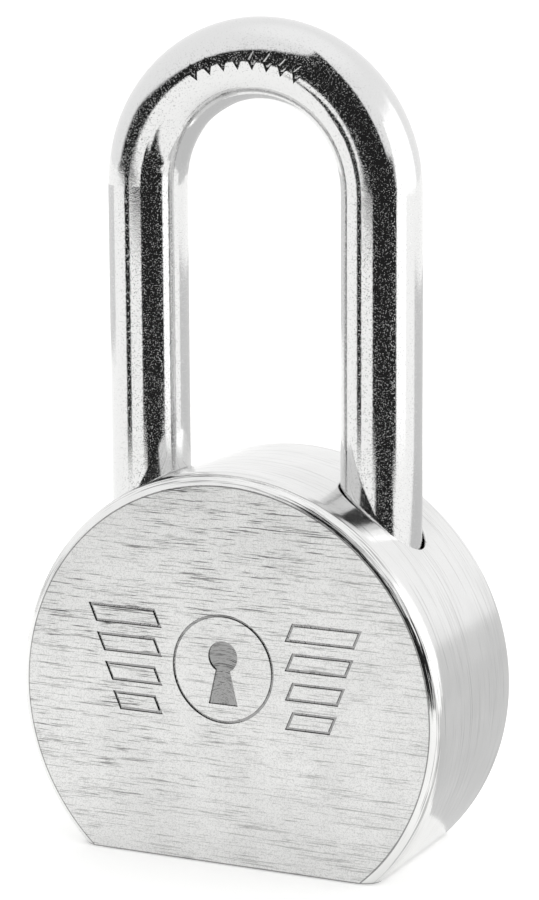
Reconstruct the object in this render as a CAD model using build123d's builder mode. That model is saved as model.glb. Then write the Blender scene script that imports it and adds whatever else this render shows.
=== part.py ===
"""Round solid-steel padlock with a long shackle, two locking balls and a removable pin-tumbler cylinder.

Frame: millimetres, +Z up towards the shackle's crown, +X towards the toe (opening) leg, and the marked face
looks towards -Y. The origin is the middle of the flat under the body, where the lock stands.

Rest is the closed lock with its cylinder turned to open, so the balls are drawn in and the shackle is free to
lift. Turning the cylinder back by open_turn locks it.
"""

import os
from math import cos, radians, sin, sqrt

from build123d import *

# ---- driving dimensions -------------------------------------------------------------------------------------
body_radius = 31.75  # a round blank 2 1/2 in across
body_depth = 27.0
centre_height = 22.6  # the round's centre above the bottom flat
edge_width = 1.6  # the turned edge, measured across the face
edge_run = 2.4  # the same edge, measured along the rim
flat_break = 0.3  # broken corner round the bottom flat

leg_radius = 5.555  # shackle rod, 7/16 in
leg_offset = 17.465  # leg axes from the middle, 1 3/8 in apart
clear_height = 49.0  # from the top of the body to the inside of the crown
leg_hole_radius = 5.8
mouth_round = 0.35  # broken edge where a leg hole meets the rim
shackle_lift = 19.5

ball_radius = 4.0
ball_height = 40.0
ball_locked = 10.4  # ball centres from the middle when locked
toe_ball_open = 7.8
heel_ball_open = 8.6  # the heel ball still holds the shackle when open
ball_clearance = 0.1
notch_clearance = 0.15
open_turn = 90.0  # degrees from locked to open

toe_hole_floor = 30.0
toe_tip = 33.5
toe_tip_round = 1.4
heel_hole_floor = 5.0
heel_tip = 13.5
heel_tip_chamfer = 0.8

shell_radius = 8.4
tower_radius = 3.4
tower_offset = 14.7  # centre of the tower's rounded end from the plug's axis
shell_bottom = 0.5
shell_top = 25.0
shell_chamfer = 0.25
pocket_gap = 0.1
pocket_top = 25.15

plug_radius = 6.35
plug_bore = 6.4
plug_chamfer = 0.35
plug_end_gap = 0.05
stub_radius = 4.6
stub_bore = 4.65
flange_thickness = 1.5
stub_top = 26.4
tail_top = 29.4
tail_size = (7.2, 2.4)
keyway_end = 22.6
keyway_mouth_radius = 4.6
keyway_mouth_depth = 0.5

clip_bottom = 25.1
clip_thickness = 0.6
clip_radius = 6.0
clip_groove_radius = 3.9
clip_gap = 0.05
clip_mouth = 5.4
clip_corner = 0.3

actuator_bottom = 26.6
actuator_top = 46.6
actuator_radius = 6.4
actuator_bore = 6.5
actuator_bore_top = 47.0
actuator_chamfer = 0.4
scoop_overrun = 4.0  # degrees that each scoop runs past the ball's travel
scoop_steps = 6
slot_clearance = 0.12
slot_top = 29.9

pin_count = 5
first_pin = 4.2
pin_pitch = 3.8
pin_radius = 1.4
chamber_radius = 1.45
chamber_floor = -1.0  # inner end of the plug's chambers, across its axis
key_pin_lengths = (4.6, 5.8, 5.0, 6.4, 5.4)
key_pin_outer = 6.25
key_pin_tip = (0.72, 0.8)  # the tip's taper, across the pin and along it
key_pin_round = 0.4
driver_inner = 6.45
driver_length = 4.8
driver_round = 0.2
spool_flange = 1.1
spool_waist = 0.95
spring_gap = 0.05  # at each end of a spring
pin_spring_wire = 0.17
pin_spring_radius = 1.12
pin_spring_turns = 6
cover_inner = 16.6
cover_thickness = 0.9
cover_width = 3.6
cover_length = 19.2
cover_corner = 0.5
cover_gap = 0.03

screw_offset = 15.0
screw_radius = 1.6
screw_hole_radius = 1.65
screw_clear_radius = 1.85
screw_bottom = 22.3
screw_end_chamfer = 0.4
screw_hole_bottom = 22.0
screw_head_radius = 3.1
screw_head_height = 2.4
screw_head_round = 0.4
screw_socket_radius = 1.25
screw_socket_depth = 1.4

lift_spring_wire = 0.55
lift_spring_radius = 4.55
lift_spring_turns = 5.5

mark_depth = 0.25
mark_rise = 5.0  # the mark's middle above the round's centre
groove_width = 0.42
mark_ring_radius = 7.6
keyhole_radius = 2.2
keyhole_foot = (4.4, 5.6)  # width and height of the part below the round
keyhole_slope = 77.0
bar_height = 2.6
bar_pitch = 4.05
bar_start = 9.2
bar_lengths = (10.2, 9.0, 7.8, 6.6)  # from the top row down
bar_slant = 1.1
stamp_depth = 0.35
stamp_count = 8
stamp_pitch = 7.4  # degrees round the crown
stamp_height = 2.6
stamp_width = 1.4
stamp_core = 0.42  # share of a stamp that stands up in its middle

# ---- places worked out from them ----------------------------------------------------------------------------
front_face = -body_depth / 2
body_top = centre_height + body_radius
crown_centre = body_top + clear_height + leg_radius - leg_offset
crown_top = crown_centre + leg_offset + leg_radius
neck_height = ball_height - shackle_lift
neck_radius = leg_offset - ball_locked  # from the heel leg's axis to the ball's centre
shell_length = shell_top - shell_bottom
keyed_plane = Plane.XY.rotated((0, 0, open_turn))  # local +X is the side that the pins enter the plug from
pin_heights = [first_pin + pin_pitch * i for i in range(pin_count)]


def across(height, offset=0.0, plane=Plane.XY):
    """A plane whose normal is the given plane's local +X, so that a hole or pin sketched on it runs that way."""
    origin = plane.origin + plane.x_dir * offset + plane.z_dir * height
    return Plane(origin=origin, x_dir=plane.y_dir, z_dir=plane.x_dir)


def save(part, name):
    """Labels a finished piece and writes its STEP file."""
    part.label = name
    export_step(part, f"parts/{name}.step")
    print(f"{name:22s} {len(part.solids())} solid(s) {part.volume:10.2f} mm3")


os.makedirs("parts", exist_ok=True)


# ---- body: turned from round bar, with a ground flat under it ------------------------------------------------
def mark_sketch():
    """A keyhole in a ring, between two stacks of slanted bars, all drawn as narrow grooves."""
    middle = (0, front_face, centre_height + mark_rise)
    face_plane = Plane(origin=middle, x_dir=(1, 0, 0), z_dir=(0, -1, 0))
    with BuildSketch(face_plane) as mark:
        Circle(mark_ring_radius)
        Circle(mark_ring_radius - groove_width, mode=Mode.SUBTRACT)
        foot_width, foot_height = keyhole_foot
        with Locations((0, foot_height / 2 - keyhole_radius / 2)):
            Circle(keyhole_radius)
        with Locations((0, -keyhole_radius)):
            Trapezoid(foot_width, foot_height, keyhole_slope)
        for side in (-1, 1):
            for row, length in enumerate(bar_lengths):
                low = bar_pitch * ((len(bar_lengths) - 1) / 2 - row) - bar_height / 2
                outline = [
                    (side * (bar_start + x), low + y)
                    for x, y in (
                        (0, 0),
                        (length, 0),
                        (length + bar_slant, bar_height),
                        (bar_slant, bar_height),
                    )
                ]
                with BuildSketch(face_plane, mode=Mode.PRIVATE) as bar:
                    with BuildLine():
                        Polyline(*outline, close=True)
                    make_face()
                    offset(amount=-groove_width, mode=Mode.SUBTRACT)
                add(bar.sketch_local)
    return mark.sketch


with BuildPart() as lock_body:
    with BuildSketch(Plane.XY.offset(centre_height)):
        with BuildLine():
            rim_front = (body_radius, front_face + edge_run)
            rim_back = (body_radius, -front_face - edge_run)
            Line((0, front_face), (body_radius - edge_width, front_face))
            TangentArc(rim_front, (body_radius - edge_width, front_face), tangent=(0, -1))
            Line(rim_front, rim_back)
            TangentArc(rim_back, (body_radius - edge_width, -front_face), tangent=(0, 1))
            Line((body_radius - edge_width, -front_face), (0, -front_face))
            Line((0, -front_face), (0, front_face))
        make_face()
    revolve(axis=Axis((0, 0, centre_height), (0, 1, 0)))
    split(bisect_by=Plane.XY, keep=Keep.TOP)
    fillet(faces().sort_by(Axis.Z)[0].edges(), flat_break)
    # leg holes, the heel one deep enough for its spring
    for leg_x, floor in ((-leg_offset, heel_hole_floor), (leg_offset, toe_hole_floor)):
        with BuildSketch(Plane.XY.offset(floor)):
            with Locations((leg_x, 0)):
                Circle(leg_hole_radius)
        extrude(amount=body_top, mode=Mode.SUBTRACT)
    mouths = edges().filter_by(lambda e: e.geom_type not in (GeomType.CIRCLE, GeomType.LINE))
    mouth_reach = leg_hole_radius + mouth_round
    mouths = mouths.filter_by(lambda e: abs(abs(e.center().X) - leg_offset) < mouth_reach)
    fillet(mouths.filter_by(lambda e: e.center().Z > ball_height), mouth_round)
    # pocket for the cylinder, bore for the actuator and the channel that the balls run in
    with BuildSketch(Plane.XY):
        Circle(shell_radius + pocket_gap)
        with Locations((tower_offset / 2, 0)):
            Rectangle(tower_offset, 2 * (tower_radius + pocket_gap))
        with Locations((tower_offset, 0)):
            Circle(tower_radius + pocket_gap)
    extrude(amount=pocket_top, mode=Mode.SUBTRACT)
    with BuildSketch(Plane.XY):
        Circle(actuator_bore)
    extrude(amount=actuator_bore_top, mode=Mode.SUBTRACT)
    with BuildSketch(across(ball_height, -leg_offset)):
        Circle(ball_radius + ball_clearance)
    extrude(amount=2 * leg_offset, mode=Mode.SUBTRACT)
    with BuildSketch(Plane.XY.offset(pocket_top)):
        with Locations((screw_offset, 0)):
            Circle(screw_clear_radius)
    extrude(amount=toe_hole_floor - pocket_top, mode=Mode.SUBTRACT)
    # the mark engraved on the front face
    extrude(mark_sketch(), amount=-mark_depth, mode=Mode.SUBTRACT)
save(lock_body.part, "lock_body")


# ---- shackle: one bent rod, with ball notches, a heel neck and a stamped crown ------------------------------
with BuildPart() as shackle:
    with BuildLine() as rod_line:
        Line((-leg_offset, 0, heel_tip), (-leg_offset, 0, crown_centre))
        ThreePointArc(
            (-leg_offset, 0, crown_centre),
            (0, 0, crown_centre + leg_offset),
            (leg_offset, 0, crown_centre),
        )
        Line((leg_offset, 0, crown_centre), (leg_offset, 0, toe_tip))
    with BuildSketch(Plane.XY.offset(heel_tip)):
        with Locations((-leg_offset, 0)):
            Circle(leg_radius)
    sweep(path=rod_line.line)
    ends = faces().filter_by(GeomType.PLANE).edges()
    fillet(ends.filter_by(lambda e: e.center().X > 0), toe_tip_round)
    chamfer(ends.filter_by(lambda e: e.center().X < 0), heel_tip_chamfer)
    # a notch milled across each leg for its ball
    for side in (-1, 1):
        with BuildSketch(Plane.XZ.offset(-leg_offset)):
            with Locations((side * ball_locked, ball_height)):
                Circle(ball_radius + notch_clearance)
        extrude(amount=2 * leg_offset, mode=Mode.SUBTRACT)
    # the heel leg's track, from its notch down to the neck that it swivels on
    with BuildSketch(Plane.XY.offset(neck_height)):
        with Locations((-heel_ball_open, 0)):
            Circle(ball_radius + notch_clearance)
    extrude(amount=shackle_lift, mode=Mode.SUBTRACT)
    with BuildSketch(Plane.XZ):
        with Locations((-leg_offset + neck_radius, neck_height)):
            Circle(ball_radius + notch_clearance)
    revolve(axis=Axis((-leg_offset, 0, 0), (0, 0, 1)), mode=Mode.SUBTRACT)
    # a row of stamped lozenges on the front of the crown
    stamp_plane = Plane(origin=(0, stamp_depth - leg_radius, crown_centre), x_dir=(1, 0, 0), z_dir=(0, -1, 0))
    half_row = stamp_pitch * (stamp_count - 1) / 2
    stamp_corners = [
        (stamp_height / 2, 0),
        (0, stamp_width / 2),
        (-stamp_height / 2, 0),
        (0, -stamp_width / 2),
    ]
    with BuildSketch(stamp_plane):
        with PolarLocations(leg_offset, stamp_count, 90 - half_row, stamp_pitch * stamp_count):
            Polygon(*stamp_corners)
            Polygon(*[(stamp_core * x, stamp_core * y) for x, y in stamp_corners], mode=Mode.SUBTRACT)
    extrude(amount=2 * stamp_depth, mode=Mode.SUBTRACT)
save(shackle.part, "shackle")


# ---- the spring that lifts the shackle, and the two locking balls -------------------------------------------
def coil(base_plane, length, radius, wire, turns):
    """An open helical spring along the plane's normal, wire radius included in its length."""
    height = length - 2 * wire
    start = base_plane.offset(wire)
    line = Helix(pitch=height / turns, height=height, radius=radius)
    path = start.location * line
    section_plane = Plane(origin=path @ 0, z_dir=path % 0)
    with BuildPart() as spring:
        with BuildSketch(section_plane):
            Circle(wire)
        sweep(path=path, is_frenet=True)
    return spring.part


shackle_spring = coil(
    Plane((-leg_offset, 0, heel_hole_floor + spring_gap)),
    heel_tip - heel_hole_floor - 2 * spring_gap,
    lift_spring_radius,
    lift_spring_wire,
    lift_spring_turns,
)
save(shackle_spring, "shackle_spring")

for name, ball_x in (("heel_ball", -heel_ball_open), ("toe_ball", toe_ball_open)):
    with BuildPart(Plane((ball_x, 0, ball_height))) as ball:
        Sphere(ball_radius)
    save(ball.part, name)


# ---- actuator: the cam that pushes the balls apart as the plug turns ----------------------------------------
def scoop_point(start_angle, open_radius, turn):
    """Where a ball's centre stands, seen from the actuator, after that many degrees towards locked."""
    reach = open_radius + (ball_locked - open_radius) * turn / open_turn
    angle = radians(start_angle + turn)
    return Vector(reach * cos(angle), reach * sin(angle), ball_height)


with BuildPart() as actuator:
    with BuildSketch(Plane.XY.offset(actuator_bottom)):
        Circle(actuator_radius)
    extrude(amount=actuator_top - actuator_bottom)
    chamfer(edges().filter_by(GeomType.CIRCLE), actuator_chamfer)
    scoop_turn = open_turn + 2 * scoop_overrun
    for start_angle, open_radius in ((0, toe_ball_open), (180, heel_ball_open)):
        turns = [scoop_turn * i / scoop_steps - scoop_overrun for i in range(scoop_steps + 1)]
        points = [scoop_point(start_angle, open_radius, turn) for turn in turns]
        with BuildLine() as scoop_line:
            Spline(*points)
        with BuildSketch(Plane(origin=scoop_line.line @ 0, z_dir=scoop_line.line % 0)):
            Circle(ball_radius + ball_clearance)
        sweep(path=scoop_line.line, mode=Mode.SUBTRACT)
        with Locations(points[0], points[-1]):
            Sphere(ball_radius + ball_clearance, mode=Mode.SUBTRACT)
    with BuildSketch(keyed_plane.offset(actuator_bottom)):
        Rectangle(tail_size[0] + 2 * slot_clearance, tail_size[1] + 2 * slot_clearance)
    extrude(amount=slot_top - actuator_bottom, mode=Mode.SUBTRACT)
save(actuator.part, "actuator")


# ---- cylinder shell: a round barrel with a tower for the pin chambers ---------------------------------------
with BuildPart() as cylinder_shell:
    with BuildSketch(Plane.XY.offset(shell_bottom)):
        Circle(shell_radius)
        with Locations((tower_offset / 2, 0)):
            Rectangle(tower_offset, 2 * tower_radius)
        with Locations((tower_offset, 0)):
            Circle(tower_radius)
    extrude(amount=shell_length)
    chamfer(faces().sort_by(Axis.Z)[0].outer_wire().edges(), shell_chamfer)
    with BuildSketch(Plane.XY.offset(shell_bottom)):
        Circle(plug_bore)
    extrude(amount=shell_length - flange_thickness, mode=Mode.SUBTRACT)
    with BuildSketch(Plane.XY):
        Circle(stub_bore)
    extrude(amount=shell_top, mode=Mode.SUBTRACT)
    # channel for the cover strip, then the chambers it closes
    tower_end = tower_offset + tower_radius
    cover_middle = (pin_heights[0] + pin_heights[-1]) / 2
    with BuildSketch(across(cover_middle, cover_inner)):
        Rectangle(cover_width, cover_length)
    extrude(amount=tower_end - cover_inner, mode=Mode.SUBTRACT)
    for height in pin_heights:
        with BuildSketch(across(height)):
            Circle(chamber_radius)
        extrude(amount=cover_inner, mode=Mode.SUBTRACT)
    with BuildSketch(Plane.XY.offset(screw_hole_bottom)):
        with Locations((screw_offset, 0)):
            Circle(screw_hole_radius)
    extrude(amount=shell_top - screw_hole_bottom, mode=Mode.SUBTRACT)
save(cylinder_shell.part, "cylinder_shell")

with BuildPart() as spring_cover:
    with BuildSketch(across(cover_middle, cover_inner)):
        RectangleRounded(cover_width - 2 * cover_gap, cover_length - 2 * cover_gap, cover_corner)
    extrude(amount=cover_thickness)
save(spring_cover.part, "spring_cover")


# ---- plug: the turning core, with its keyway, chambers, clip groove and tail --------------------------------
keyway_outline = [
    (3.6, -0.6),
    (3.6, 0.8),
    (1.5, 0.8),
    (1.2, 0.4),
    (-0.3, 0.4),
    (-0.6, 1.1),
    (-2.2, 1.1),
    (-2.6, 0.5),
    (-5.2, 0.5),
    (-5.2, -0.9),
    (-2.4, -0.9),
    (-2.1, -0.3),
    (-0.6, -0.3),
    (-0.3, -1.1),
    (1.3, -1.1),
    (1.6, -0.6),
]
with BuildPart() as cylinder_plug:
    with BuildSketch(Plane.XY.offset(shell_bottom)):
        Circle(plug_radius)
    plug_back = shell_top - flange_thickness - plug_end_gap
    extrude(amount=plug_back - shell_bottom)
    chamfer(faces().sort_by(Axis.Z)[0].edges(), plug_chamfer)
    with BuildSketch(Plane.XY.offset(plug_back)):
        Circle(stub_radius)
    extrude(amount=stub_top - plug_back)
    with BuildSketch(keyed_plane.offset(stub_top)):
        Rectangle(*tail_size)
    extrude(amount=tail_top - stub_top)
    with BuildSketch(Plane.XY.offset(clip_bottom - clip_gap)):
        Circle(stub_radius)
        Circle(clip_groove_radius, mode=Mode.SUBTRACT)
    extrude(amount=clip_thickness + 2 * clip_gap, mode=Mode.SUBTRACT)
    with BuildSketch(keyed_plane.offset(shell_bottom)):
        with BuildLine():
            Polyline(*keyway_outline, close=True)
        make_face()
    extrude(amount=keyway_end - shell_bottom, mode=Mode.SUBTRACT)
    # a dished mouth that leads the key in
    with BuildSketch(Plane.XY.offset(shell_bottom)):
        Circle(keyway_mouth_radius)
    extrude(amount=keyway_mouth_depth, taper=45, mode=Mode.SUBTRACT)
    for height in pin_heights:
        with BuildSketch(across(height, chamber_floor, keyed_plane)):
            Circle(chamber_radius)
        extrude(amount=plug_radius - chamber_floor, mode=Mode.SUBTRACT)
save(cylinder_plug.part, "cylinder_plug")

with BuildPart() as plug_clip:
    with BuildSketch(keyed_plane.offset(clip_bottom)):
        Circle(clip_radius)
        Circle(clip_groove_radius + clip_gap, mode=Mode.SUBTRACT)
        with Locations((-clip_radius / 2 - clip_groove_radius / 2, 0)):
            Rectangle(clip_radius, clip_mouth, mode=Mode.SUBTRACT)
    extrude(amount=clip_thickness)
    fillet(edges().filter_by(Axis.Z), clip_corner)
save(plug_clip.part, "plug_clip")


# ---- pin stacks: key pins in the plug, spool and plain drivers with their springs in the tower --------------
def key_pin(height, length):
    """A key pin, rounded where it meets the shear line and tapered to the tip that rides on the key."""
    outward = Axis(keyed_plane.origin, keyed_plane.x_dir)
    with BuildPart() as pin:
        with BuildSketch(across(height, key_pin_outer - length, keyed_plane)):
            Circle(pin_radius)
        extrude(amount=length)
        chamfer(faces().sort_by(outward)[0].edges(), *key_pin_tip)
        fillet(faces().sort_by(outward)[-1].edges(), key_pin_round)
    return pin.part


def driver_pin(height, spool):
    """A driver pin in the tower. Every other one is a spool, waisted against picking."""
    with BuildPart() as pin:
        with BuildSketch(across(height, driver_inner)):
            Circle(pin_radius)
        extrude(amount=driver_length)
        fillet(edges().filter_by(GeomType.CIRCLE), driver_round)
        if spool:
            with BuildSketch(across(height, driver_inner + spool_flange)):
                Circle(pin_radius)
                Circle(spool_waist, mode=Mode.SUBTRACT)
            extrude(amount=driver_length - 2 * spool_flange, mode=Mode.SUBTRACT)
    return pin.part


driver_outer = driver_inner + driver_length
spring_length = cover_inner - driver_outer - 2 * spring_gap
for index, (height, length) in enumerate(zip(pin_heights, key_pin_lengths), start=1):
    save(key_pin(height, length), f"key_pin_{index}")
    save(driver_pin(height, spool=index % 2 == 1), f"driver_pin_{index}")
    pin_spring = coil(
        across(height, driver_outer + spring_gap),
        spring_length,
        pin_spring_radius,
        pin_spring_wire,
        pin_spring_turns,
    )
    save(pin_spring, f"pin_spring_{index}")


# ---- cylinder screw, reached through the open toe hole -------------------------------------------------------
with BuildPart() as cylinder_screw:
    with BuildSketch(Plane.XY.offset(screw_bottom)):
        with Locations((screw_offset, 0)):
            Circle(screw_radius)
    extrude(amount=toe_hole_floor - screw_bottom)
    chamfer(faces().sort_by(Axis.Z)[0].edges(), screw_end_chamfer)
    with BuildSketch(Plane.XY.offset(toe_hole_floor)):
        with Locations((screw_offset, 0)):
            Circle(screw_head_radius)
    extrude(amount=screw_head_height)
    fillet(faces().sort_by(Axis.Z)[-1].edges(), screw_head_round)
    with BuildSketch(Plane.XY.offset(toe_hole_floor + screw_head_height)):
        with Locations((screw_offset, 0)):
            RegularPolygon(screw_socket_radius, 6)
    extrude(amount=-screw_socket_depth, mode=Mode.SUBTRACT)
save(cylinder_screw.part, "cylinder_screw")

print(f"body top {body_top:.2f}, crown centre {crown_centre:.2f}, crown top {crown_top:.2f}")
rim_at_leg = centre_height + sqrt(body_radius**2 - leg_offset**2)
print(f"rim at the legs {rim_at_leg:.2f}")
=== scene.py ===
"""Finishes and stage for the round solid-steel padlock, laid out as an add-on and run as a script."""

import math

import bpy
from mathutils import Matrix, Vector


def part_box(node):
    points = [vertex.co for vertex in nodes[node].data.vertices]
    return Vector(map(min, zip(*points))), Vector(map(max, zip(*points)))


bl_info = {
    "name": "Round steel padlock",
    "version": (1, 0, 0),
    "blender": (4, 5, 0),
    "location": "3D View > Sidebar > Padlock",
    "description": "Finishes a packed round padlock and sets up its studio",
    "category": "Object",
}

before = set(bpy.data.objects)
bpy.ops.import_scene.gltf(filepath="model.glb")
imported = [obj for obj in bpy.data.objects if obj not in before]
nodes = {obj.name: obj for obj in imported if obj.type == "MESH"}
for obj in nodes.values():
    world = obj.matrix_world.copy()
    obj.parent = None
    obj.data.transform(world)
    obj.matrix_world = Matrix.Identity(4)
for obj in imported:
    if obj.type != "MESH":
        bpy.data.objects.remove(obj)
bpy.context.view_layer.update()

MM = 0.001
WHITE = (1.0, 1.0, 1.0, 1.0)
NO_COLOUR = (0.0, 0.0, 0.0, 1.0)
# the colour of the painted shade in grooves, creases, stamp floors and along the foot
PAINTED_SHADE_COLOUR = (0.1, 0.1, 0.1, 1.0)
STAMP_DEPTH = 0.35 * MM
body_low, body_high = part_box("lock_body")
BODY_RADIUS = (body_high.x - body_low.x) / 2
BODY_DEPTH = body_high.y - body_low.y
BODY_CENTRE = body_high.z - BODY_RADIUS
rod_low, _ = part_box("shackle")
STAMP_FLOOR = rod_low.y + STAMP_DEPTH


# ---- node helpers -------------------------------------------------------------------------------------------
class Graph:
    """A node tree that is filled one node at a time."""

    def __init__(self, tree):
        self.tree = tree

    def add(self, kind, inputs=(), **settings):
        """A new node with its settings, whose inputs are given by name or number, as values or as sockets."""
        node = self.tree.nodes.new(kind)
        for name, value in settings.items():
            setattr(node, name, value)
        for key, value in dict(inputs).items():
            if isinstance(value, bpy.types.NodeSocket):
                self.tree.links.new(value, node.inputs[key])
            else:
                node.inputs[key].default_value = value
        return node

    def math(self, operation, *values, clamp=False):
        node = self.add("ShaderNodeMath", dict(enumerate(values)), operation=operation, use_clamp=clamp)
        return node.outputs[0]

    def ramp(self, value, start, stop, low=0.0, high=1.0):
        """A smooth step from low to high as value goes from start to stop."""
        numbers = {"Value": value, "From Min": start, "From Max": stop, "To Min": low, "To Max": high}
        node = self.add("ShaderNodeMapRange", numbers, interpolation_type="SMOOTHSTEP")
        return node.outputs["Result"]

    def mix_value(self, factor, low, high):
        node = self.add("ShaderNodeMix", {"Factor": factor, 2: low, 3: high}, data_type="FLOAT")
        return node.outputs[0]

    def mix_colour(self, factor, low, high):
        node = self.add("ShaderNodeMix", {0: factor, 6: low, 7: high}, data_type="RGBA")
        return node.outputs[2]

    def split(self, vector):
        return self.add("ShaderNodeSeparateXYZ", {0: vector}).outputs

    def join(self, x, y, z):
        return self.add("ShaderNodeCombineXYZ", {0: x, 1: y, 2: z}).outputs[0]

    def noise(self, vector, scale, detail=2.0, roughness=0.5):
        inputs = {"Vector": vector, "Scale": scale, "Detail": detail, "Roughness": roughness}
        return self.add("ShaderNodeTexNoise", inputs).outputs["Fac"]

    def band(self, value, start, stop, soft):
        """One between start and stop, with soft edges that are centred on them."""
        low = self.ramp(value, start - soft, start + soft)
        high = self.ramp(value, stop - soft, stop + soft, 1.0, 0.0)
        return self.math("MULTIPLY", low, high)

    def bump(self, height, distance):
        inputs = {"Height": height, "Distance": distance, "Strength": 1.0}
        return self.add("ShaderNodeBump", inputs).outputs[0]

    def object_place(self):
        return self.add("ShaderNodeTexCoord").outputs["Object"]

    def feed(self, inputs, values):
        """Joins each named socket to the input of that name."""
        for name, socket in values.items():
            self.tree.links.new(socket, inputs[name])


def new_group(name, inputs, outputs):
    """An empty shader group with named sockets: inputs give (name, kind, default), outputs (name, kind)."""
    tree = bpy.data.node_groups.new(name, "ShaderNodeTree")
    for socket_name, kind, default in inputs:
        socket = tree.interface.new_socket(socket_name, in_out="INPUT", socket_type="NodeSocket" + kind)
        if default is not None:
            socket.default_value = default
    for socket_name, kind in outputs:
        tree.interface.new_socket(socket_name, in_out="OUTPUT", socket_type="NodeSocket" + kind)
    graph = Graph(tree)
    return graph, graph.add("NodeGroupInput").outputs, graph.add("NodeGroupOutput").inputs


def use_group(graph, name, inputs):
    """Places a finished group in a material with this material's own values."""
    return graph.add("ShaderNodeGroup", inputs, node_tree=bpy.data.node_groups[name]).outputs


# ---- shared effects -----------------------------------------------------------------------------------------
def make_brushed_lines():
    """Fine parallel tool marks: Along is the way the tool went, and Across and Third cross it, in metres."""
    graph, given, out = new_group(
        "Brushed lines",
        [
            ("Along", "Float", 0.0),
            ("Across", "Float", 0.0),
            ("Third", "Float", 0.0),
            ("Line length", "Float", 6 * MM),
            ("Line width", "Float", 0.16 * MM),
            ("Scratch share", "Float", 0.3),
        ],
        [("Height", "Float"), ("Marks", "Float"), ("Scratches", "Float")],
    )
    along = graph.math("DIVIDE", given["Along"], given["Line length"])
    across = graph.math("DIVIDE", given["Across"], given["Line width"])
    third = graph.math("DIVIDE", given["Third"], given["Line width"])
    fine = graph.noise(graph.join(along, across, third), 1.0, detail=2.0, roughness=0.7)
    # wider and longer lines lie under the fine ones
    fine_share, wide_share = 0.7, 0.3
    wide_along, wide_across = 0.4, 0.3
    wide_place = graph.join(
        graph.math("MULTIPLY", along, wide_along),
        graph.math("MULTIPLY", across, wide_across),
        graph.math("MULTIPLY", third, wide_across),
    )
    wide = graph.noise(wide_place, 1.0, detail=1.0)
    fine_part = graph.math("MULTIPLY", fine, fine_share)
    height = graph.math("ADD", fine_part, graph.math("MULTIPLY", wide, wide_share))
    mark_start, mark_full = 0.54, 0.62
    marks = graph.ramp(height, mark_start, mark_full)
    # few and long scratches: only the highest tops of a stretched noise
    scratch_along, scratch_across, scratch_scale = 0.55, 0.8, 1.3
    top_limit, limit_drop, sharpness = 0.86, 0.2, 25.0
    scratch_place = graph.join(
        graph.math("MULTIPLY", along, scratch_along), graph.math("MULTIPLY", across, scratch_across), third
    )
    tops = graph.noise(scratch_place, scratch_scale, detail=0.0)
    limit = graph.math("SUBTRACT", top_limit, graph.math("MULTIPLY", given["Scratch share"], limit_drop))
    scratches = graph.math("MULTIPLY", graph.math("SUBTRACT", tops, limit), sharpness, clamp=True)
    graph.feed(out, {"Height": height, "Marks": marks, "Scratches": scratches})


def make_plating_grain():
    """The sparse fine pits of a plated surface, and apart from them a slow mottle."""
    graph, given, out = new_group(
        "Plating grain",
        [("Place", "Vector", None), ("Grain size", "Float", 0.25 * MM), ("Wave size", "Float", 5 * MM)],
        [("Height", "Float"), ("Mottle", "Float")],
    )

    def noise_of(size, detail, roughness):
        scale = graph.math("DIVIDE", 1.0, given[size])
        place = graph.add("ShaderNodeVectorMath", {0: given["Place"], 3: scale}, operation="SCALE").outputs[0]
        return graph.noise(place, 1.0, detail, roughness)

    grain = noise_of("Grain size", 1.0, 0.6)
    pit_start, pit_full, grain_share = 0.60, 0.74, 0.35
    pits = graph.ramp(grain, pit_start, pit_full)
    height = graph.math("SUBTRACT", graph.math("MULTIPLY", grain, grain_share), pits)
    graph.feed(out, {"Height": height, "Mottle": noise_of("Wave size", 2.0, 0.5)})


def make_round_place():
    """Places round the body's axis: the length round its rim, the radius and the depth along Y."""
    graph, given, out = new_group(
        "Round place",
        [("Place", "Vector", None), ("Centre height", "Float", BODY_CENTRE)],
        [("Arc", "Float"), ("Radius", "Float"), ("Depth", "Float")],
    )
    x, y, z = graph.split(given["Place"])
    up = graph.math("SUBTRACT", z, given["Centre height"])
    squares = graph.math("ADD", graph.math("POWER", x, 2.0), graph.math("POWER", up, 2.0))
    arc = graph.math("MULTIPLY", graph.math("ARCTAN2", x, up), BODY_RADIUS)
    graph.feed(out, {"Arc": arc, "Radius": graph.math("SQRT", squares), "Depth": y})


# ---- materials ----------------------------------------------------------------------------------------------
def new_metal(name, colour, roughness):
    """A metallic material and its graph, ready for its patterns."""
    material = bpy.data.materials.new(name)
    material.use_nodes = True
    graph = Graph(material.node_tree)
    shader = material.node_tree.nodes["Principled BSDF"]
    shader.inputs["Base Color"].default_value = (*colour, 1.0)
    shader.inputs["Metallic"].default_value = 1.0
    shader.inputs["Roughness"].default_value = roughness
    return material, graph, shader


def shade(colour, share):
    """The colour made darker or lighter, with its alpha."""
    return (*(share * c for c in colour), 1.0)


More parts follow.
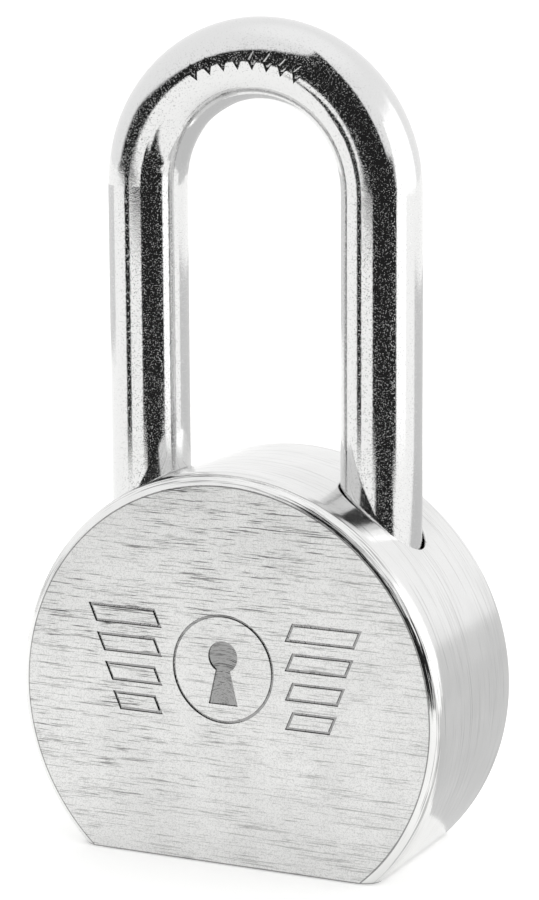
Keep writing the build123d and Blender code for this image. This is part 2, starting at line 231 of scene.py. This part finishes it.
def body_masks(graph, look, ring, z):
    """Masks over the body: its ground faces, its polished edges and the painted shade in its grooves, along its
    foot and in the crease of its edges.
    """
    face_plane = BODY_DEPTH / 2
    depth = graph.math("ABSOLUTE", ring["Depth"])
    face = graph.ramp(depth, face_plane - 0.06 * MM, face_plane - 0.02 * MM)
    rim = graph.ramp(ring["Radius"], BODY_RADIUS - 0.25 * MM, BODY_RADIUS - 0.04 * MM)
    polished = graph.math("SUBTRACT", 1.0, graph.math("MAXIMUM", face, rim))
    # painted shade in the engraved grooves, which are well inside the edge and lie under the face
    inside = graph.ramp(ring["Radius"], BODY_RADIUS - 3.0 * MM, BODY_RADIUS - 2.2 * MM, 1.0, 0.0)
    groove_shade = graph.math("MULTIPLY", inside, graph.math("SUBTRACT", 1.0, face))
    # painted contact shadow along the foot of the body, just above the flat
    above_flat = graph.ramp(z, 0.02 * MM, 0.05 * MM)
    foot_shadow = graph.math("MULTIPLY", above_flat, graph.ramp(z, 0.2 * MM, 0.3 * MM, 1.0, 0.0))
    # painted shade in the crease where a face meets its polished edge
    off_crease = graph.math("SUBTRACT", ring["Radius"], BODY_RADIUS - look.edge_width)
    near_crease = graph.ramp(graph.math("ABSOLUTE", off_crease), 0.05 * MM, 0.13 * MM, 1.0, 0.0)
    near_face = graph.ramp(depth, face_plane - 0.3 * MM, face_plane - 0.2 * MM)
    crease_shade = graph.math("MULTIPLY", near_crease, near_face)
    painted_shade = graph.math("MAXIMUM", graph.math("MAXIMUM", groove_shade, foot_shadow), crease_shade)
    return face, polished, painted_shade


def body_marks_and_shade(graph, look, mottle, x, z):
    """How strongly the faces are ground, in patches; the marks are strongest towards the top of the heel side,
    which is partly real grinding and partly painted shade.
    """
    lean = 0.8
    above_centre = graph.math("SUBTRACT", z, BODY_CENTRE)
    towards = graph.math("SUBTRACT", above_centre, graph.math("MULTIPLY", x, lean))
    # painted shade slope: the faces are darker towards the top of the heel side
    shade_slope = graph.ramp(towards, -0.6 * BODY_RADIUS, 0.8 * BODY_RADIUS, look.lit_side_marks, 1.0)
    least_patch = 0.55
    return graph.math("MULTIPLY", shade_slope, graph.ramp(mottle, 0.25, 0.6, least_patch, 1.0))


def plated_body_material(look):
    """Plated steel: faces ground along X, the rim and its rounded edges finished round the lock."""
    material, graph, shader = new_metal("body steel", look.body_colour, look.face_roughness)
    place = graph.object_place()
    x, y, z = graph.split(place)
    ring = use_group(graph, "Round place", {"Place": place})
    face, polished, painted_shade = body_masks(graph, look, ring, z)
    ground = use_group(
        graph,
        "Brushed lines",
        {
            "Along": x,
            "Across": z,
            "Third": graph.math("MULTIPLY", y, 0.2),
            "Line length": look.face_line_length,
            "Line width": look.face_line_width,
            "Scratch share": look.face_scratches,
        },
    )
    turned = use_group(
        graph,
        "Brushed lines",
        {
            "Along": ring["Arc"],
            "Across": ring["Depth"],
            "Third": ring["Radius"],
            "Line length": 14 * MM,
            "Line width": look.turned_line_width,
            "Scratch share": 0.0,
        },
    )
    grain = use_group(graph, "Plating grain", {"Place": place, "Grain size": 0.3 * MM, "Wave size": 9 * MM})

    height = graph.mix_value(face, turned["Height"], ground["Height"])
    mark_depth = graph.mix_value(face, look.rim_mark_depth, look.face_mark_depth)
    mark_depth = graph.mix_value(polished, mark_depth, look.band_mark_depth)
    normal = graph.bump(graph.math("MULTIPLY", height, mark_depth), 1.0)

    base = look.body_colour
    dull_share, scratch_share = 0.93, 0.45
    scratched = shade(base, scratch_share)
    colour = graph.mix_colour(graph.ramp(grain["Mottle"], 0.35, 0.7), shade(base, 1.0), shade(base, dull_share))
    speckle_size, speckle_strength = 0.16 * MM, 0.42
    speckle = graph.math("MULTIPLY", graph.noise(place, 1.0 / speckle_size, 1.0, 0.6), face)
    colour = graph.mix_colour(graph.ramp(speckle, 0.42, 0.72, 0.0, speckle_strength), colour, scratched)
    rim_share, edge_share = 0.22, 0.5
    turned_share = graph.mix_value(polished, rim_share, edge_share)
    turned_marks = graph.math("MULTIPLY", turned["Marks"], turned_share)
    # the ground marks, made darker towards the top of the heel side by a painted shade slope
    ground_marks = graph.math("MULTIPLY", ground["Marks"], body_marks_and_shade(graph, look, grain["Mottle"], x, z))
    marks = graph.mix_value(face, turned_marks, ground_marks)
    colour = graph.mix_colour(marks, colour, shade(base, look.mark_tone))
    colour = graph.mix_colour(graph.math("MULTIPLY", ground["Scratches"], face), colour, scratched)
    # painted shade in the grooves, along the foot and in the crease of the edges
    colour = graph.mix_colour(graph.math("MULTIPLY", painted_shade, look.painted_shade_share), colour, PAINTED_SHADE_COLOUR)

    rough = graph.mix_value(face, look.rim_roughness, look.face_roughness)
    rough = graph.mix_value(polished, rough, look.band_roughness)
    graph.feed(shader.inputs, {"Base Color": colour, "Roughness": rough, "Normal": normal})
    return material


def chrome_material(look):
    """Bright plate over a drawn and bent rod, with the fine grain that breaks up its reflections."""
    material, graph, shader = new_metal("shackle chrome", look.shackle_colour, look.shackle_roughness)
    place = graph.object_place()
    grain = use_group(graph, "Plating grain", {"Place": place, "Grain size": look.grain_size})
    normal = graph.bump(grain["Height"], look.grain_depth)
    # painted shade on the stamps' flat floors
    stamp_shade = 0.15
    surface = graph.add("ShaderNodeNewGeometry").outputs["True Normal"]
    facing = graph.math("ABSOLUTE", graph.split(surface)[1])
    off_floor = graph.math("ABSOLUTE", graph.math("SUBTRACT", graph.split(place)[1], STAMP_FLOOR))
    at_floor = graph.ramp(off_floor, 0.01 * MM, 0.03 * MM, 1.0, 0.0)
    stamp = graph.math("MULTIPLY", at_floor, graph.ramp(facing, 0.99, 0.999))
    base, pit_share = look.shackle_colour, 0.9
    in_pits = graph.ramp(grain["Height"], -0.5, 0.1, 1.0, 0.0)
    colour = graph.mix_colour(in_pits, shade(base, 1.0), shade(base, pit_share))
    # painted shade on the stamp floors
    colour = graph.mix_colour(graph.math("MULTIPLY", stamp, stamp_shade * look.painted_shade_share), colour, PAINTED_SHADE_COLOUR)
    smoothest, roughest = 0.8 * look.shackle_roughness, 1.3 * look.shackle_roughness
    rough = graph.ramp(grain["Mottle"], 0.3, 0.7, smoothest, roughest)
    graph.feed(shader.inputs, {"Base Color": colour, "Roughness": rough, "Normal": normal})
    return material


def machined_material(name, colour, roughness, line_width=0.12 * MM, depth=0.003 * MM):
    """A small turned or milled part: fine tool lines across Z, and a soft tarnish in patches."""
    material, graph, shader = new_metal(name, colour, roughness)
    place = graph.object_place()
    x, y, z = graph.split(place)
    lines = use_group(
        graph,
        "Brushed lines",
        {
            "Along": graph.math("ADD", x, y),
            "Across": z,
            "Third": x,
            "Line length": 3 * MM,
            "Line width": line_width,
            "Scratch share": 0.1,
        },
    )
    grain = use_group(graph, "Plating grain", {"Place": place, "Grain size": 0.2 * MM, "Wave size": 2.5 * MM})
    tarnish = graph.ramp(grain["Mottle"], 0.42, 0.68)
    tarnish_share, tarnish_roughness = 0.72, 0.15
    tone = graph.mix_colour(tarnish, shade(colour, 1.0), shade(colour, tarnish_share))
    rough = graph.mix_value(tarnish, roughness, min(1.0, roughness + tarnish_roughness))
    normal = graph.bump(lines["Height"], depth)
    graph.feed(shader.inputs, {"Base Color": tone, "Roughness": rough, "Normal": normal})
    return material


def glowing_material(name, colour, roughness, specular, glow):
    """A plain stage material that gives some light of its own."""
    material = bpy.data.materials.new(name)
    material.use_nodes = True
    inputs = material.node_tree.nodes["Principled BSDF"].inputs
    inputs["Base Color"].default_value = colour
    inputs["Roughness"].default_value = roughness
    inputs["Specular IOR Level"].default_value = specular
    inputs["Emission Color"].default_value = WHITE
    inputs["Emission Strength"].default_value = glow
    return material


def give(material, *names):
    """Puts one material on each of the named CAD nodes."""
    for name in names:
        for slot in nodes[name].material_slots:
            slot.material = material


# ---- settings -----------------------------------------------------------------------------------------------
def length_setting(name, text, default):
    return bpy.props.FloatProperty(name=name, description=text, default=default, unit="LENGTH", precision=5)


def share_setting(name, text, default):
    return bpy.props.FloatProperty(
        name=name, description=text, default=default, min=0.0, max=1.0, subtype="FACTOR"
    )


def colour_setting(name, text, default):
    return bpy.props.FloatVectorProperty(
        name=name, description=text, default=default, size=3, min=0.0, max=1.0, subtype="COLOR"
    )


def angle_setting(name, text, degrees):
    return bpy.props.FloatProperty(name=name, description=text, default=math.radians(degrees), subtype="ANGLE")


class PadlockLook(bpy.types.PropertyGroup):
    """Colours and surface marks of the lock's metals."""

    body_colour: colour_setting("Body colour", "Plated steel of the body", (0.80, 0.80, 0.795))
    face_roughness: share_setting("Face roughness", "Gloss of the ground faces", 0.32)
    rim_roughness: share_setting("Rim roughness", "Gloss of the turned rim", 0.18)
    band_roughness: share_setting("Edge roughness", "Gloss of the polished edges", 0.10)
    face_line_length: length_setting("Grinding line length", "How far a mark runs along the face", 4.2 * MM)
    face_line_width: length_setting("Grinding line width", "How wide a mark on the face is", 0.12 * MM)
    edge_width: length_setting("Edge width", "How wide the polished edge is across the face", 1.6 * MM)
    turned_line_width: length_setting("Turned line width", "How wide a mark round the rim is", 0.26 * MM)
    face_mark_depth: length_setting("Grinding depth", "Height of the marks on the faces", 0.012 * MM)
    rim_mark_depth: length_setting("Rim mark depth", "Height of the marks on the rim", 0.006 * MM)
    band_mark_depth: length_setting("Edge mark depth", "Height of the marks on the polished edges", 0.09 * MM)
    face_scratches: share_setting("Scratches", "How many long scratches the faces have", 0.35)
    mark_tone: share_setting("Mark tone", "How light a mark is beside the plate", 0.12)
    # share of the marks on the lighter lower side of the painted shade slope
    lit_side_marks: share_setting("Lit side marks", "Share of the marks where the faces are ground least", 0.5)
    # painted shade: how dark the grooves, the foot, the edge crease and the stamp floors are made
    painted_shade_share: share_setting("Painted shade", "How dark the engraved grooves are", 0.7)
    shackle_colour: colour_setting("Shackle colour", "Bright plate on the shackle", (0.71, 0.71, 0.71))
    shackle_roughness: share_setting("Shackle roughness", "Gloss of the shackle", 0.06)
    grain_size: length_setting("Grain size", "Size of the plating's grain", 0.17 * MM)
    grain_depth: length_setting("Grain depth", "Height of the plating's grain", 0.012 * MM)
    brass_colour: colour_setting("Brass colour", "Machined brass of the cylinder", (0.72, 0.52, 0.24))
    steel_colour: colour_setting("Hardened steel colour", "Balls and actuator", (0.60, 0.61, 0.63))
    spring_colour: colour_setting("Spring colour", "Drawn spring wire", (0.42, 0.43, 0.45))
    dark_colour: colour_setting("Black oxide colour", "Screw and clip", (0.12, 0.12, 0.13))


class PadlockStudio(bpy.types.PropertyGroup):
    """Camera, floor and lights."""

    yaw: angle_setting("Camera yaw", "Turn of the camera towards the toe leg", 25.375)
    pitch: angle_setting("Camera pitch", "Height of the camera above level", 10.754)
    roll: angle_setting("Camera roll", "Lean of the camera", -0.312)
    distance: length_setting("Camera distance", "From the camera to what it looks at", 0.41917)
    lens: bpy.props.FloatProperty(name="Lens", description="Focal length in millimetres", default=122.23)
    look_across: length_setting("Look across", "What the camera looks at, along X", 0.7585 * MM)
    look_height: length_setting("Look height", "What the camera looks at, above the floor", 55.459 * MM)
    floor_colour: colour_setting("Floor colour", "Pale floor", (0.82, 0.82, 0.81))
    floor_glow: share_setting("Floor glow", "Light that the floor gives by itself", 0.40)
    sky_light: bpy.props.FloatProperty(name="Soft light", description="Strength of the soft light", default=1.06)
    lamp_light: bpy.props.FloatProperty(name="Side lamp", description="Strength of the side lamp", default=0.9)
    top_light: bpy.props.FloatProperty(name="Top light", description="Strength of the light overhead", default=1.16)
    dark_light: share_setting("Dark side light", "Strength of the dark side of the studio", 0.02)


# ---- operators ----------------------------------------------------------------------------------------------
class PADLOCK_OT_make_effects(bpy.types.Operator):
    """Build the shader groups that the metals share"""

    bl_idname = "padlock.make_effects"
    bl_label = "Make shared effects"

    def execute(self, context):
        make_brushed_lines()
        make_plating_grain()
        make_round_place()
        return {"FINISHED"}


class PADLOCK_OT_finish_body(bpy.types.Operator):
    """Give the solid body its ground faces, turned rim and polished edges"""

    bl_idname = "padlock.finish_body"
    bl_label = "Finish body"

    def execute(self, context):
        give(plated_body_material(context.scene.padlock_look), "lock_body")
        return {"FINISHED"}


class PADLOCK_OT_finish_shackle(bpy.types.Operator):
    """Give the shackle its bright plate"""

    bl_idname = "padlock.finish_shackle"
    bl_label = "Finish shackle"

    def execute(self, context):
        give(chrome_material(context.scene.padlock_look), "shackle")
        return {"FINISHED"}


class PADLOCK_OT_finish_cylinder(bpy.types.Operator):
    """Give the cylinder's shell, plug, cover and pins their brass"""

    bl_idname = "padlock.finish_cylinder"
    bl_label = "Finish cylinder"

    def execute(self, context):
        look = context.scene.padlock_look
        brass = tuple(look.brass_colour)
        paler = tuple(min(1.0, 1.12 * c) for c in brass)
        give(machined_material("cylinder brass", brass, 0.3), "cylinder_shell", "spring_cover")
        give(machined_material("plug brass", paler, 0.24), "cylinder_plug")
        pins = [n for n in nodes if n.startswith(("key_pin", "driver_pin"))]
        give(machined_material("pin brass", paler, 0.2, line_width=0.06 * MM), *pins)
        return {"FINISHED"}


class PADLOCK_OT_finish_works(bpy.types.Operator):
    """Give the balls, actuator, springs, clip and screw their steels"""

    bl_idname = "padlock.finish_works"
    bl_label = "Finish inner works"

    def execute(self, context):
        look = context.scene.padlock_look
        steel = tuple(look.steel_colour)
        give(machined_material("ball steel", steel, 0.08, depth=0.0003 * MM), "heel_ball", "toe_ball")
        give(machined_material("actuator steel", tuple(0.85 * c for c in steel), 0.32), "actuator")
        springs = [n for n in nodes if "spring" in n and n != "spring_cover"]
        give(machined_material("spring wire", tuple(look.spring_colour), 0.25, depth=0.001 * MM), *springs)
        give(machined_material("black oxide", tuple(look.dark_colour), 0.4), "plug_clip", "cylinder_screw")
        return {"FINISHED"}


class PADLOCK_OT_set_stage(bpy.types.Operator):
    """Lay the floor, hang the cards and the soft light, and place the camera"""

    bl_idname = "padlock.set_stage"
    bl_label = "Set stage"

    def execute(self, context):
        studio = context.scene.padlock_studio
        lay_floor(studio)
        light_world(studio)
        stand_cards(studio)
        place_camera(studio)
        return {"FINISHED"}


# ---- stage --------------------------------------------------------------------------------------------------
def lay_floor(studio):
    """A wide pale floor, a hair under the flat that the lock stands on."""
    bpy.ops.object.select_all(action="DESELECT")
    bpy.ops.mesh.primitive_plane_add(size=8.0, location=(0, 0, -0.05 * MM))
    floor = bpy.context.object
    floor.name = "studio_floor"
    matt, faint_shine = 0.9, 0.1
    floor_colour = (*studio.floor_colour, 1.0)
    floor.data.materials.append(glowing_material("pale floor", floor_colour, matt, faint_shine, studio.floor_glow))


def light_world(studio):
    """Soft light from overhead, the sides and behind, with a dark side towards the camera.

    The dark side and the lamp only light the lock and show in its metal: the camera sees plain white.
    """
    world = bpy.data.worlds.new("studio")
    bpy.context.scene.world = world
    world.use_nodes = True
    graph = Graph(world.node_tree)
    direction = graph.add("ShaderNodeTexCoord").outputs["Generated"]
    x, y, z = graph.split(direction)
    # the angle round the lock from the camera's side, positive towards the toe leg
    turn = graph.math("ARCTAN2", x, graph.math("MULTIPLY", y, -1.0))
    turn = graph.math("WRAP", graph.math("SUBTRACT", turn, studio.yaw), math.pi, -math.pi)
    height = graph.math("ARCSINE", z)

    def window(value, start, stop, soft):
        return graph.band(value, math.radians(start), math.radians(stop), math.radians(soft))

    # the dark side stands highest a little left of the camera and falls away to both sides
    peak_left, peak_height, least_height = math.radians(8), math.radians(66), math.radians(10)
    left_fall, right_fall = -1.0, 1.8
    off_peak = graph.math("ADD", turn, peak_left)
    fall = graph.math(
        "MAXIMUM", graph.math("MULTIPLY", off_peak, left_fall), graph.math("MULTIPLY", off_peak, right_fall)
    )
    top = graph.math("MAXIMUM", graph.math("SUBTRACT", peak_height, fall), least_height)
    under_top = graph.ramp(graph.math("SUBTRACT", height, top), 0.0, math.radians(5), 1.0, 0.0)
    dark = graph.math("MULTIPLY", window(turn, -90, 38, 6), under_top)
    lamp = graph.math("MULTIPLY", window(turn, 52, 108, 8), window(height, -8, 34, 8))
    sky = graph.ramp(height, math.radians(50), math.radians(75), studio.sky_light, studio.top_light)
    strength = graph.mix_value(dark, sky, studio.dark_light)
    strength = graph.math("ADD", strength, graph.math("MULTIPLY", lamp, studio.lamp_light))
    # seen directly, the world is a plain white backdrop
    seen = graph.add("ShaderNodeLightPath").outputs["Is Camera Ray"]
    strength = graph.mix_value(seen, strength, 1.0)
    background = world.node_tree.nodes["Background"].inputs
    background["Color"].default_value = WHITE
    graph.feed(background, {"Strength": strength})


def around(studio, turn, distance, height):
    """A place round the lock: turn is in degrees from the camera's side, positive towards the toe leg."""
    angle = studio.yaw + math.radians(turn)
    return (distance * math.sin(angle), -distance * math.cos(angle), height)


def stand_cards(studio):
    """Cards that only show in the metal, some upright round the lock and some lying on the floor."""
    black = 0.02
    # name, turn in degrees, distance, width in degrees, height, light
    upright_cards = [
        ("black_card_front", 8, 0.26, 64, 0.095, black),
        ("black_card_left", -65, 0.30, 15, 0.10, black),
        ("white_card_right", 55, 0.34, 26, 0.30, 1.6),
        ("grey_card_back", 129, 0.28, 60, 0.043, 0.74),
        ("grey_card_left", -137, 0.45, 46, 0.05, 0.82),
    ]
    for name, turn, distance, spread, height, light in upright_cards:
        width = 2 * distance * math.tan(math.radians(spread) / 2)
        facing = studio.yaw + math.radians(turn)
        place = around(studio, turn, distance, height / 2)
        add_card(name, place, (math.pi / 2, 0, facing), (width, height), light)
    # name, turn in degrees, near edge, far edge, width, light
    above_floor = 0.2 * MM
    floor_cards = [
        ("black_card_floor", 9, 0.17, 0.26, 0.20, black),
        ("black_card_far", -26, 0.80, 4.0, 7.0, black),
        ("grey_card_floor", 129, 0.02, 0.28, 0.32, 0.70),
    ]
    for name, turn, near, far, width, light in floor_cards:
        facing = studio.yaw + math.radians(turn)
        place = around(studio, turn, (near + far) / 2, above_floor)
        add_card(name, place, (0, 0, facing), (width, far - near), light)


def add_card(name, place, turned, size, light):
    """A flat card of even light that neither the camera nor the soft light sees."""
    bpy.ops.object.select_all(action="DESELECT")
    bpy.ops.mesh.primitive_plane_add(size=1.0, location=place, rotation=turned)
    card = bpy.context.object
    card.name = name
    card.scale = (*size, 1.0)
    card.visible_camera = False
    card.visible_shadow = False
    card.visible_diffuse = False
    card.data.materials.append(glowing_material(name, NO_COLOUR, 1.0, 0.0, light))


def place_camera(studio):
    """A long lens a little above the lock, turned towards the toe leg's side."""
    target = (studio.look_across, 0.0, studio.look_height)
    level = studio.distance * math.cos(studio.pitch)
    place = (
        target[0] + level * math.sin(studio.yaw),
        -level * math.cos(studio.yaw),
        target[2] + studio.distance * math.sin(studio.pitch),
    )
    bpy.ops.object.camera_add(location=place, rotation=(math.pi / 2 - studio.pitch, 0, studio.yaw))
    camera = bpy.context.object
    camera.name = "camera"
    camera.rotation_euler.rotate_axis("Z", studio.roll)
    camera.data.lens = studio.lens
    camera.data.sensor_width = 36.0
    camera.data.clip_start = 0.01
    bpy.context.scene.camera = camera
    bpy.context.scene.view_settings.view_transform = "Standard"


# ---- panel and registration ---------------------------------------------------------------------------------
class PADLOCK_PT_sidebar(bpy.types.Panel):
    """The lock's steps, in order"""

    bl_idname = "PADLOCK_PT_sidebar"
    bl_label = "Padlock"
    bl_space_type = "VIEW_3D"
    bl_region_type = "UI"
    bl_category = "Padlock"

    def draw(self, context):
        for operator in operators:
            self.layout.operator(operator.bl_idname)


operators = (
    PADLOCK_OT_make_effects,
    PADLOCK_OT_finish_body,
    PADLOCK_OT_finish_shackle,
    PADLOCK_OT_finish_cylinder,
    PADLOCK_OT_finish_works,
    PADLOCK_OT_set_stage,
)
classes = (PadlockLook, PadlockStudio, *operators, PADLOCK_PT_sidebar)


def register():
    for each in classes:
        bpy.utils.register_class(each)
    bpy.types.Scene.padlock_look = bpy.props.PointerProperty(type=PadlockLook)
    bpy.types.Scene.padlock_studio = bpy.props.PointerProperty(type=PadlockStudio)


def unregister():
    del bpy.types.Scene.padlock_look
    del bpy.types.Scene.padlock_studio
    for each in reversed(classes):
        bpy.utils.unregister_class(each)


def main():
    """Registers the add-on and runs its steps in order."""
    register()
    bpy.ops.padlock.make_effects()
    bpy.ops.padlock.finish_body()
    bpy.ops.padlock.finish_shackle()
    bpy.ops.padlock.finish_cylinder()
    bpy.ops.padlock.finish_works()
    bpy.ops.padlock.set_stage()


if __name__ == "__main__":
    main()
